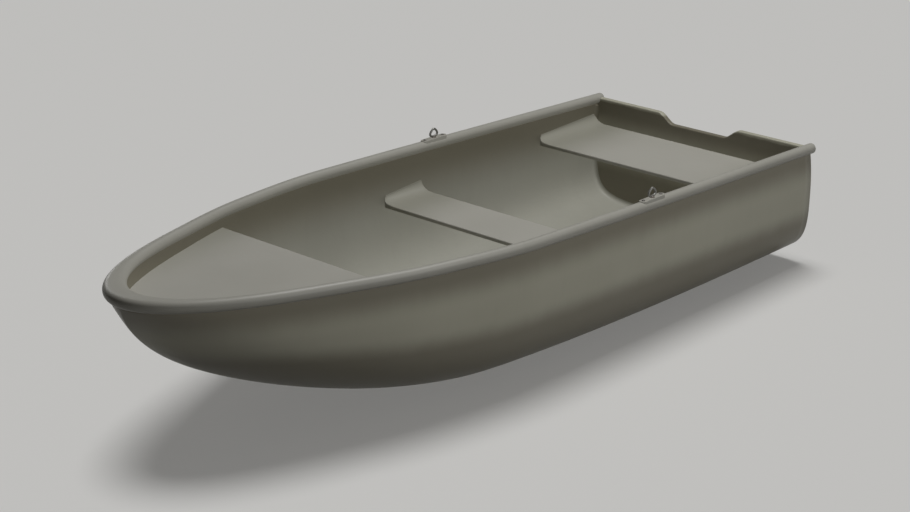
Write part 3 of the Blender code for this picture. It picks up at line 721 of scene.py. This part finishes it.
SEAT_GRAIN_SIZE = 0.0022
SEAT_GRAIN_SMOOTHNESS = 0.6
SEAT_GRAIN_DEPTH = 0.00012
SEAT_ROUGHNESS = 0.44
SEAT_POLISH_SIZE = 0.12
SEAT_POLISH = 0.14


def seat_gelcoat():
    """Matt flowcoat with a fine pebbled tread, clouded and marked by use, with painted shade darkening it
    towards its ends.
    """
    finish = Finish("seat_gelcoat")
    clouds = finish.ramp(finish.noise(SEAT_CLOUD_SIZE, 4.0), *CLOUD_REACH)
    marks = finish.ramp(finish.noise(SEAT_MARK_SIZE, 6.0, SEAT_MARK_STRETCH, 0.65), *SEAT_MARK_REACH)
    tone = finish.mix(clouds * SEAT_CLOUD_SHARE + marks * SEAT_MARK_SHARE, SEAT_COLOUR, SEAT_SHADE)
    # Painted shade: the tone darkens towards the seat's ends, where they sweep up the sides.
    off_centre = finish.part("Y")
    blotches = finish.noise(SEAT_END_SHADE_BLOTCH_SIZE, 3.0) - 0.5
    end_shade = finish.ramp(off_centre * off_centre + blotches * SEAT_END_SHADE_BLOTCH, *SEAT_END_SHADE_REACH)
    tone = finish.mix(end_shade * SEAT_END_SHADE_SHARE, tone, SEAT_END_SHADE_COLOUR)
    pebbles = finish.node("ShaderNodeTexVoronoi", {"feature": "SMOOTH_F1"},
                          {"Vector": finish.place(), "Scale": 1 / SEAT_GRAIN_SIZE,
                           "Smoothness": SEAT_GRAIN_SMOOTHNESS}, "Distance")
    rough = finish.noise(SEAT_POLISH_SIZE, 4.0) * SEAT_POLISH + SEAT_ROUGHNESS
    return finish.finish(Base_Color=tone, Roughness=rough, Normal=finish.bump(pebbles, SEAT_GRAIN_DEPTH))


def inside(x, z):
    """Half breadth of the shell's inside."""
    return hull_tree.ray_cast(Vector((x, 0, z)), Vector((0, 1, 0)))[0].y


def rounded(distance, radius):
    """How far a rounded edge lies below its face at a distance in from the edge."""
    short = radius - min(distance, radius)
    return radius - math.sqrt(max(radius * radius - short * short, 0.0))


def seat_places(aft, front):
    """Places from the aft edge to the front one, closer together where an edge or a corner is round."""
    start = front - SEAT_CORNER
    turns = quarter_turns(ROUND_STEPS)
    places = [aft + SEAT_TOP_ROUND * (1 - math.cos(turn)) for turn in turns]
    places += list(np.linspace(aft + SEAT_TOP_ROUND, start, SEAT_BODY_STEPS + 1)[1:])
    places += [start + (SEAT_CORNER - SEAT_TOP_ROUND) * math.sin(turn)
               for turn in quarter_turns(CORNER_STEPS)[1:]]
    return places + [front - SEAT_TOP_ROUND * (1 - math.sin(turn)) for turn in turns[1:]]


def from_front(x, y, front, wall_y):
    """How far a point of a seat is from its front edge, which turns aft round the corners."""
    start, side = front - SEAT_CORNER, wall_y - SEAT_CORNER
    straight = max(front - x, 0.0)
    if x <= start or y <= side:
        return straight
    corner = max(SEAT_CORNER - math.hypot(x - start, y - side), 0.0)
    return straight + (corner - straight) * min((x - start) / SEAT_CORNER * SEAT_CORNER_BLEND, 1.0)


def make_seat(node, name):
    low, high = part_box(node)
    deck_low, deck_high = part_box("bow_seat")
    aft, front, bottom, top = low.x, high.x, low.z, low.z + (deck_high.z - deck_low.z)
    start = front - SEAT_CORNER
    rings = []
    for x in seat_places(aft, front):
        along = min(max((x - start) / SEAT_CORNER, 0.0), 1.0)
        full_share = math.sqrt(max(1 - along ** 2, 0.0))
        pull_in = SEAT_CORNER * (1 - full_share)
        sink = SEAT_SINK * (1 - min(along / SEAT_FREE_SHARE, 1.0))
        rise = SEAT_END_RISE * full_share * (1 - SEAT_FRONT_FALL_SHARE * (x - aft) / (front - aft))
        wall_y = inside(x, top + rise) + sink
        lip_y, low_y = wall_y - pull_in, inside(x, bottom) + sink - pull_in
        sweep_y = lip_y - SEAT_END_LIP - SEAT_END_SWEEP
        half = [(sweep_y * k / SEAT_FLAT_STEPS, top) for k in range(SEAT_FLAT_STEPS)]
        half += [(sweep_y + SEAT_END_SWEEP * math.sin(turn), top + rise * (1 - math.cos(turn)))
                 for turn in quarter_turns(SWEEP_STEPS)]
        half.append((lip_y, top + rise))
        from_aft, low_edge = max(x - aft, 0.0), min(max(front - x, 0.0), max(x - aft, 0.0))
        upper = [(y, z - rounded(min(from_front(x, y, front, wall_y), from_aft), SEAT_TOP_ROUND))
                 for y, z in half]
        lower = [(low_y * k / SEAT_FLAT_STEPS, bottom + rounded(low_edge, SEAT_LOW_ROUND))
                 for k in range(SEAT_FLAT_STEPS, -1, -1)]
        loop = upper + lower
        loop += [(-y, z) for y, z in lower[-2::-1]] + [(-y, z) for y, z in upper[:0:-1]]
        rings.append([(x, y, z) for y, z in loop])
    seat = lofted(name, rings, seat_finish)
    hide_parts(node)
    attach(seat, "boat")


seat_finish = seat_gelcoat()
make_seat("middle_seat", "middle_seat_plank")
make_seat("stern_seat", "stern_seat_plank")

# The bow seat: a flat triangular plate of the same moulding, trimmed to the inside of the bow and bonded
# all round, with a rounded aft edge.
DECK_STEPS = 90
DECK_WIDTH_STEPS = 8
DECK_ROUND = 0.006


def make_bow_seat():
    low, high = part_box("bow_seat")
    aft, top, bottom = low.x, high.z, low.z
    tips = [hull_tree.ray_cast(Vector((aft, 0, z)), Vector((1, 0, 0)))[0].x for z in (top, bottom)]
    across = [1 - 2 * k / DECK_WIDTH_STEPS for k in range(DECK_WIDTH_STEPS + 1)]

    def ring(x_top, x_low, top_drop, low_lift):
        y_top, y_low = inside(x_top, top) + SEAT_SINK, inside(x_low, bottom) + SEAT_SINK
        return ([(x_top, y_top * share, top - top_drop) for share in across]
                + [(x_low, -y_low * share, bottom + low_lift) for share in across])

    rings = []
    for turn in quarter_turns(ROUND_STEPS):
        x = aft + DECK_ROUND * (1 - math.cos(turn))
        rings.append(ring(x, x, rounded(x - aft, DECK_ROUND), rounded(x - aft, SEAT_LOW_ROUND)))
    first = aft + DECK_ROUND
    for k in range(1, DECK_STEPS):
        rest = (1 - k / DECK_STEPS) ** 2
        rings.append(ring(*(tip - (tip - first) * rest for tip in tips), 0.0, 0.0))
    deck = lofted("bow_seat_plate", rings, seat_finish)
    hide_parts("bow_seat")
    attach(deck, "boat")


make_bow_seat()

# The gunwale: a fat moulded roll, grooved underneath and pressed down over the shell's top edge. It runs
# unbroken round the bow, where it broadens inward, and ends in blunt rounded stubs just past the transom.
RIM_END_ROUND = 0.0075
RIM_SWELL_AT_STEM = 0.060
RIM_SWELL_START = 0.82
RIM_SWELL_POWER = 3
RIM_STATIONS = 170
RIM_SIDES = 40
RIM_COLOUR = (0.36, 0.352, 0.312)
RIM_SHADE = (0.325, 0.317, 0.278)
RIM_SCUFF = (0.41, 0.405, 0.37)
RIM_ROUGHNESS = 0.5
RIM_PEEL = 0.0002


def full_turns(sides):
    """Angles evenly round a circle."""
    return np.linspace(0, math.tau, sides, endpoint=False)


def combine(piece, other, operation, sharp_angle):
    """Cuts another solid out of a piece or joins it on, and keeps the result as the piece's own mesh."""
    change = piece.modifiers.new("change", "BOOLEAN")
    change.operation = operation
    change.solver = "EXACT"
    change.object = other
    shaped = bpy.data.meshes.new_from_object(piece.evaluated_get(bpy.context.evaluated_depsgraph_get()))
    piece.modifiers.remove(change)
    piece.data = shaped
    bpy.data.objects.remove(other)
    shaped.set_sharp_from_angle(angle=math.radians(sharp_angle))


def drill_for_bush(piece, word, x):
    low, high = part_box(f"rowlock_bush_{word}")
    y, radius = (low.y + high.y) / 2, (high.x - low.x) / 2
    rings = [[(x + radius * math.cos(a), y + radius * math.sin(a), z) for a in full_turns(RIM_SIDES)]
             for z in (low.z, high.z + RIM_RADIUS)]
    combine(piece, lofted("cutter", rings, rim_finish), "DIFFERENCE", SHARP_ANGLE)


def rim_line(shares):
    """Points of the roll's centreline and the outward normals in plan, from the transom to the stem."""
    plan = np.stack([station_x(shares), half_breadth(shares)], 1)
    plan[-1, 1] = 0.0
    ahead = np.vstack([plan[1:], [[plan[-2, 0], -plan[-2, 1]]]])
    behind = np.vstack([2 * plan[:1] - plan[1:2], plan[:-1]])
    along = ahead - behind
    along /= np.linalg.norm(along, axis=1)[:, None]
    return plan, np.stack([-along[:, 1], along[:, 0]], 1), sheer_height(shares)


def make_gunwale():
    shares = stations(RIM_STATIONS)
    plan, normals, heights = rim_line(shares)
    swell_shares = np.clip((shares - RIM_SWELL_START) / (1 - RIM_SWELL_START), 0, 1)
    swells = RIM_SWELL_AT_STEM * swell_shares ** RIM_SWELL_POWER

    def ring(x, y, nx, ny, z, radius, swell=0.0):
        loop = []
        for a in full_turns(RIM_SIDES):
            out = (radius + (swell if math.cos(a) < 0 else 0.0)) * math.cos(a)
            loop.append((x + nx * out, y + ny * out, z + radius * math.sin(a)))
        return loop

    rings = []
    for turn in quarter_turns(ROUND_STEPS):
        x = cad_box[0].x + RIM_END_ROUND * (1 - math.cos(turn))
        radius = RIM_RADIUS - RIM_END_ROUND * (1 - math.sin(turn))
        rings.append(ring(x, plan[0, 1], *normals[0], heights[0], radius))
    for (x, y), (nx, ny), z, swell in zip(plan, normals, heights, swells):
        rings.append(ring(x, y, nx, ny, z, RIM_RADIUS, swell))
    rings += [[(x, -y, z) for x, y, z in loop] for loop in rings[-2::-1]]
    rim = lofted("gunwale_roll", rings, rim_finish)
    for word, _ in SIDES:
        low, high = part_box(f"rowlock_bush_{word}")
        drill_for_bush(rim, word, (low.x + high.x) / 2)
    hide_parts("gunwale_port", "gunwale_starboard")
    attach(rim, "boat")


rim_finish = gelcoat("gunwale_gelcoat", RIM_COLOUR, RIM_SHADE, RIM_ROUGHNESS, RIM_PEEL, scuff=RIM_SCUFF)
make_gunwale()

# The rowlock pads: moulded blocks hollowed to sit astride the gunwale, level on top, each held down by a
# bolt near either end. Rust has started under the bolt heads.
PAD_WIDTH = 0.034
PAD_FLARE = 0.003
PAD_TOP_ROUND = 0.002
PAD_ROUND_RATE = 2
PAD_ROUND_STEPS = 4
PAD_END_STEPS = 12
PAD_BODY_STEPS = 14
PAD_SIDES = 8
RIM_SEARCH_SHARES = (0.2, 0.5)
RIM_SEARCH_STEPS = 600
BOLT_INSET = 0.019
BOLT_HEAD_RADIUS = 0.0055
BOLT_HEAD_HEIGHT = 0.0032
BOLT_SIDE_SHARE = 0.25
BOLT_DOME_STEPS = 6
BOLT_SIDES = 24
WASHER_RADIUS = 0.0085
WASHER_HEIGHT = 0.0012
WASHER_BEVEL_SHARE = 0.4
BOLT_COLOUR = (0.16, 0.155, 0.145)
RUST_COLOUR = (0.095, 0.048, 0.026)
RUST_SHARE = 0.75
RUST_EDGE_SIZE = 0.004
RUST_SPOT_SIZE = 0.003
RUST_SPOT_REACH = (0.35, 0.55)
RUST_ROUGHNESS = 0.35
RUST_SWELL = 0.6
SPANGLE_SCALE = 260.0
SPANGLE_SHARE = 0.3
BLOOM_SIZE = 0.006
BLOOM_REACH = (0.40, 0.70)
BLOOM_SHARE = 0.5
BLOOM_BRIGHTNESS = 1.35
BLOOM_ROUGHNESS = 0.12
METAL_SHARE = 0.75
METAL_LOST_TO_RUST = 0.7
METAL_ROUGHNESS = 0.42
PITTING_SIZE = 0.0015
PITTING_DEPTH = 0.00015


def turned(name, outline, centre, sides, finish):
    """A solid turned about an upright axis. Its outline, of (radius, height), starts and ends on the axis."""
    cx, cy, cz = centre
    points = [(cx, cy, cz + outline[0][1])]
    for radius, height in outline[1:-1]:
        for turn in full_turns(sides):
            points.append((cx + radius * math.cos(turn), cy + radius * math.sin(turn), cz + height))
    points.append((cx, cy, cz + outline[-1][1]))
    last = len(points) - 1
    faces = []
    for k in range(sides):
        m = (k + 1) % sides
        faces += [(0, 1 + k, 1 + m), (last, last - sides + m, last - sides + k)]
        for row in range(len(outline) - 3):
            base = 1 + row * sides
            faces.append((base + k, base + sides + k, base + sides + m, base + m))
    return add_mesh(name, points, faces, (finish,))


def rusting_metal(name, colour, rust_from, rust_to):
    """Dull zinc-coated steel with a mottled bloom, and rust that spreads between two heights."""
    finish = Finish(name)
    spangle = finish.node("ShaderNodeTexVoronoi", None, {"Vector": finish.place(), "Scale": SPANGLE_SCALE},
                          "Distance")
    bloom = finish.ramp(finish.noise(BLOOM_SIZE, 4.0), *BLOOM_REACH)
    bright = tuple(c * BLOOM_BRIGHTNESS for c in colour)
    tone = finish.mix(bloom * BLOOM_SHARE + spangle * SPANGLE_SHARE, colour, bright)
    height = finish.part("Z") + (finish.noise(RUST_EDGE_SIZE, 5.0) - 0.5) * (rust_from - rust_to)
    rust = 1.0 - finish.ramp(height, rust_to, rust_from)
    rust = rust * finish.ramp(finish.noise(RUST_SPOT_SIZE, 5.0), *RUST_SPOT_REACH)
    tone = finish.mix(rust * RUST_SHARE, tone, RUST_COLOUR)
    normal = finish.bump(finish.noise(PITTING_SIZE, 3.0) + rust * RUST_SWELL, PITTING_DEPTH)
    rough = rust * RUST_ROUGHNESS + bloom * BLOOM_ROUGHNESS + METAL_ROUGHNESS
    return finish.finish(Base_Color=tone, Metallic=METAL_SHARE - rust * METAL_LOST_TO_RUST, Roughness=rough,
                         Normal=normal)


def rim_at(x):
    """Half breadth and height of the roll's centreline."""
    shares = np.linspace(*RIM_SEARCH_SHARES, RIM_SEARCH_STEPS + 1)
    share = float(np.interp(x, station_x(shares), shares))
    return float(half_breadth(share)), float(sheer_height(share))


def make_pad(word, side):
    low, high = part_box(f"rowlock_pad_{word}")
    top, centre, straight = high.z, (low.x + high.x) / 2, (high.x - low.x) / 2 - PAD_WIDTH / 2
    places = [(centre + straight * (2 * k / PAD_BODY_STEPS - 1), 1.0) for k in range(PAD_BODY_STEPS + 1)]
    for turn in quarter_turns(PAD_END_STEPS)[1:-1]:
        out = straight + PAD_WIDTH / 2 * math.sin(turn)
        places += [(centre - out, math.cos(turn)), (centre + out, math.cos(turn))]
    cope = RIM_RADIUS - COPE_OVERLAP
    rings = []
    for x, share in sorted(places):
        y, z = rim_at(x)
        half = PAD_WIDTH / 2 * share
        soft = PAD_TOP_ROUND * min(share * PAD_ROUND_RATE, 1.0)
        loop = [(-half + soft * (1 - math.cos(turn)), top - soft * (1 - math.sin(turn)))
                for turn in quarter_turns(PAD_ROUND_STEPS)]
        loop += [(-a, b) for a, b in loop[::-1]]
        spread = math.asin((PAD_WIDTH / 2 + PAD_FLARE) / RIM_RADIUS) * share
        for k in range(PAD_SIDES + 1):
            turn = spread * (1 - 2 * k / PAD_SIDES)
            loop.append((cope * math.sin(turn), z + cope * math.cos(turn)))
        rings.append([(x, side * (y + across), height) for across, height in loop])
    pad = lofted(f"rowlock_block_{word}", rings, rim_finish)
    drill_for_bush(pad, word, centre)
    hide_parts(f"rowlock_pad_{word}")
    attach(pad, "boat")


def make_pad_bolts(word, side):
    low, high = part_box(f"rowlock_pad_{word}")
    metal = rusting_metal(f"bolt_steel_{word}", BOLT_COLOUR, high.z + WASHER_HEIGHT * 2, high.z)
    bevel = WASHER_HEIGHT * WASHER_BEVEL_SHARE
    outline = [(0, -WASHER_HEIGHT), (WASHER_RADIUS, -WASHER_HEIGHT), (WASHER_RADIUS, WASHER_HEIGHT - bevel),
               (WASHER_RADIUS - bevel, WASHER_HEIGHT), (BOLT_HEAD_RADIUS, WASHER_HEIGHT)]
    for turn in quarter_turns(BOLT_DOME_STEPS)[:-1]:
        share = BOLT_SIDE_SHARE + (1 - BOLT_SIDE_SHARE) * math.sin(turn)
        outline.append((BOLT_HEAD_RADIUS * math.cos(turn), WASHER_HEIGHT + BOLT_HEAD_HEIGHT * share))
    outline.append((0, WASHER_HEIGHT + BOLT_HEAD_HEIGHT))
    for end, x in (("aft", low.x + BOLT_INSET), ("fore", high.x - BOLT_INSET)):
        place = (x, rim_at(x)[0] * side, high.z)
        bolt = turned(f"pad_bolt_{word}_{end}", outline, place, BOLT_SIDES, metal)
        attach(bolt, "boat")


for word, side in SIDES:
    make_pad(word, side)
    make_pad_bolts(word, side)

# The rowlock bushes: bearing tubes let down through the pad into the gunwale, for the rowlocks' pins.
# They are plain turned steel, rusting towards the bottom, where water gathers.
BUSH_BORE_RADIUS = 0.0065
BUSH_LIP_ROUND = 0.0006
BUSH_RUST_BELOW_LIP = 0.004
BUSH_SIDES = 40


def make_bush(word):
    low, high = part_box(f"rowlock_bush_{word}")
    radius, top, bore = (high.x - low.x) / 2, high.z - low.z, BUSH_BORE_RADIUS
    floor = radius - bore
    outline = [(0, 0), (radius, 0), (radius, top - BUSH_LIP_ROUND), (radius - BUSH_LIP_ROUND, top),
               (bore + BUSH_LIP_ROUND, top), (bore, top - BUSH_LIP_ROUND), (bore, floor), (0, floor)]
    metal = rusting_metal(f"bush_steel_{word}", BOLT_COLOUR, high.z - BUSH_RUST_BELOW_LIP, low.z)
    place = ((low.x + high.x) / 2, (low.y + high.y) / 2, low.z)
    bush = turned(f"rowlock_tube_{word}", outline, place, BUSH_SIDES, metal)
    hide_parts(f"rowlock_bush_{word}")
    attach(bush, "boat")


for word, _ in SIDES:
    make_bush(word)

# The rowlocks: closed rings of galvanised bar, forged pear-shaped with their legs spread onto a collar.
# A pin under the collar turns in the bush, so that the ring follows the oar.
PIN_RADIUS = 0.006
PIN_TIP_ROUND = 0.001
PIN_SIDES = 40
COLLAR_RADIUS = 0.012
COLLAR_HEIGHT = 0.003
COLLAR_SHOULDER = (0.93, 0.80)
COLLAR_TOP_RADIUS = 0.009
COLLAR_RUST_HEIGHT = 0.012
RING_WIDTH = 0.058
RING_HEIGHT = 0.046
RING_WIRE_RADIUS = 0.005
RING_SPREAD_SHARE = 0.4
RING_STEPS = 72
RING_SIDES = 20
RING_SHARP_ANGLE = 50.0
ROWLOCK_COLOUR = (0.215, 0.213, 0.198)


def make_rowlock(word):
    joint = next(j for j in frame["joints"] if j["child"] == f"rowlock_{word}")
    x, y, base = joint["pos_m"]
    metal = rusting_metal(f"rowlock_steel_{word}", ROWLOCK_COLOUR, base + COLLAR_RUST_HEIGHT, base)
    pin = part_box(f"rowlock_{word}")[0].z - base
    top = COLLAR_HEIGHT + RING_WIRE_RADIUS / 2
    shoulder_radius, shoulder_height = COLLAR_SHOULDER
    outline = [(0, pin), (PIN_RADIUS - PIN_TIP_ROUND, pin), (PIN_RADIUS, pin + PIN_TIP_ROUND),
               (PIN_RADIUS, 0), (COLLAR_RADIUS - PIN_TIP_ROUND / 2, 0), (COLLAR_RADIUS, PIN_TIP_ROUND / 2),
               (COLLAR_RADIUS, COLLAR_HEIGHT / 2),
               (COLLAR_RADIUS * shoulder_radius, COLLAR_HEIGHT * shoulder_height),
               (COLLAR_TOP_RADIUS, COLLAR_HEIGHT), (PIN_RADIUS, top), (0, top)]
    rowlock = turned(f"rowlock_ring_{word}", outline, (x, y, base), PIN_SIDES, metal)
    half_width = RING_WIDTH / 2 - RING_WIRE_RADIUS
    half_height = RING_HEIGHT / 2 - RING_WIRE_RADIUS
    centre_height = base + COLLAR_HEIGHT + RING_HEIGHT / 2 - RING_WIRE_RADIUS / 2

    def bar(turn):
        """The middle of the ring's bar, at a turn from the bottom."""
        spread = (1 + RING_SPREAD_SHARE * math.cos(turn)) / (1 + RING_SPREAD_SHARE ** 2 / 2)
        return Vector((x + half_width * spread * math.sin(turn), y,
                       centre_height - half_height * math.cos(turn)))

    rings = []
    for k in range(RING_STEPS):
        turn = math.tau * k / RING_STEPS
        along = bar(turn + math.tau / RING_STEPS) - bar(turn - math.tau / RING_STEPS)
        out = Vector((along.z, 0, -along.x)).normalized()
        rings.append([bar(turn) + (out * math.cos(a) + Vector((0, 1, 0)) * math.sin(a)) * RING_WIRE_RADIUS
                      for a in full_turns(RING_SIDES)])
    combine(rowlock, lofted("ring", rings, metal, closed=True), "UNION", RING_SHARP_ANGLE)
    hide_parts(f"rowlock_{word}")
    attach(rowlock, f"rowlock_{word}")


for word, _ in SIDES:
    make_rowlock(word)
